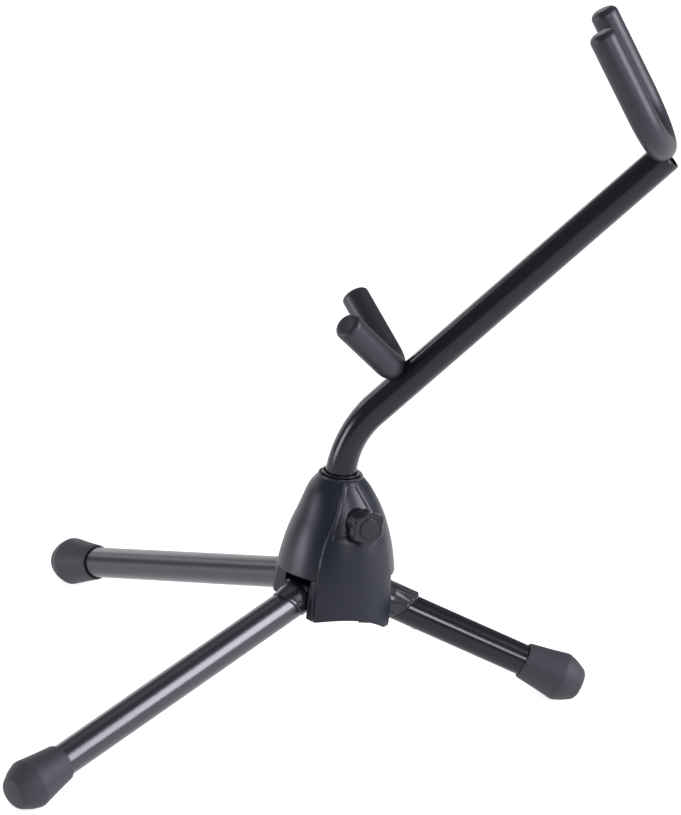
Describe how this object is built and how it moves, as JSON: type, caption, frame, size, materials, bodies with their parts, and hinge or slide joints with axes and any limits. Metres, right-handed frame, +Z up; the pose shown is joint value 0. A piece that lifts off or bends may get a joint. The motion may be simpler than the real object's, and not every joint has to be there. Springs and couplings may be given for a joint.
{
  "type": "saxophone stand",
  "caption": "Low folding tripod stand that cradles a saxophone on a bent, clamped mast with padded lower and upper yokes.",
  "frame": {"origin": "on the floor, at the centre of the stand's bounding box seen from above", "axes": "+X the way the mast leans, +Y to the left of that, +Z up"},
  "size_m": [0.3785, 0.3948, 0.4211],
  "materials": {
    "nylon": "satin moulded nylon",
    "bush": "moulded nylon",
    "knob": "satin moulded plastic",
    "knuckle": "satin moulded nylon",
    "plug": "moulded plastic",
    "black_lacquer": "gloss black lacquered steel",
    "grey_lacquer": "semi-gloss dark grey lacquered steel tube",
    "rubber": "matte moulded rubber",
    "foam": "matte soft rubber sleeve",
    "steel": "zinc plated steel",
    "brass": "turned brass"
  },
  "bodies": {
    "hub": {"hub_body": "nylon", "hub_base_plate": "nylon", "base_screw_1": "steel", "base_screw_2": "steel", "base_screw_3": "steel", "thread_insert": "brass", "leg_front_pin": "steel", "leg_back_pin": "steel", "leg_right_pin": "steel"},
    "bush": {"mast_bush": "bush"},
    "mast": {"mast_tube": "black_lacquer", "mast_bottom_plug": "plug", "mast_top_plug": "plug", "upper_yoke_rod": "black_lacquer", "upper_yoke_sleeve": "foam", "lower_yoke_rod": "black_lacquer", "lower_yoke_sleeve": "foam"},
    "pad": {"pressure_pad": "brass"},
    "knob": {"clamp_screw": "steel", "clamp_knob": "knob", "knob_cap": "knob"},
    "leg_front": {"leg_front_tube": "grey_lacquer", "leg_front_knuckle": "knuckle", "leg_front_foot": "rubber", "leg_front_rivet": "steel"},
    "leg_back": {"leg_back_tube": "grey_lacquer", "leg_back_knuckle": "knuckle", "leg_back_foot": "rubber", "leg_back_rivet": "steel"},
    "leg_right": {"leg_right_tube": "black_lacquer", "leg_right_knuckle": "knuckle", "leg_right_foot": "rubber", "leg_right_rivet": "steel"}
  },
  "joints": [
    {"name": "leg_front_fold", "type": "hinge", "parent": "hub", "child": "leg_front", "pos_m": [-0.02304, -0.01719, 0.06941], "axis": [0.7453, -0.6646, -0.0538], "range_deg": [0, 73]},
    {"name": "leg_back_fold", "type": "hinge", "parent": "hub", "child": "leg_back", "pos_m": [-0.02304, 0.01719, 0.06941], "axis": [-0.7453, -0.6646, 0.0538], "range_deg": [0, 73]},
    {"name": "leg_right_fold", "type": "hinge", "parent": "hub", "child": "leg_right", "pos_m": [0.01504, 0, 0.06522], "axis": [0, 1, 0], "range_deg": [0, 70]},
    {"name": "mast_turn", "type": "hinge", "parent": "hub", "child": "bush", "pos_m": [-0.0073, 0, 0.0752], "axis": [0.072, 0, 0.9974], "range_deg": [-180, 180]},
    {"name": "mast_slide", "type": "slide", "parent": "bush", "child": "mast", "axis": [0.072, 0, 0.9974], "range_m": [0, 0.045]},
    {"name": "pad_travel", "type": "slide", "parent": "hub", "child": "pad", "axis": [0.4987, -0.866, -0.036], "range_m": [0, 0.002]},
    {"name": "knob_turn", "type": "hinge", "parent": "pad", "child": "knob", "pos_m": [0.015, -0.03334, 0.1167], "axis": [0.4987, -0.866, -0.036], "range_deg": [0, 720]}
  ],
  "couplings": [
    {"joint": "pad_travel", "follows": "knob_turn", "m_per_rad": 0.00015915}
  ]
}
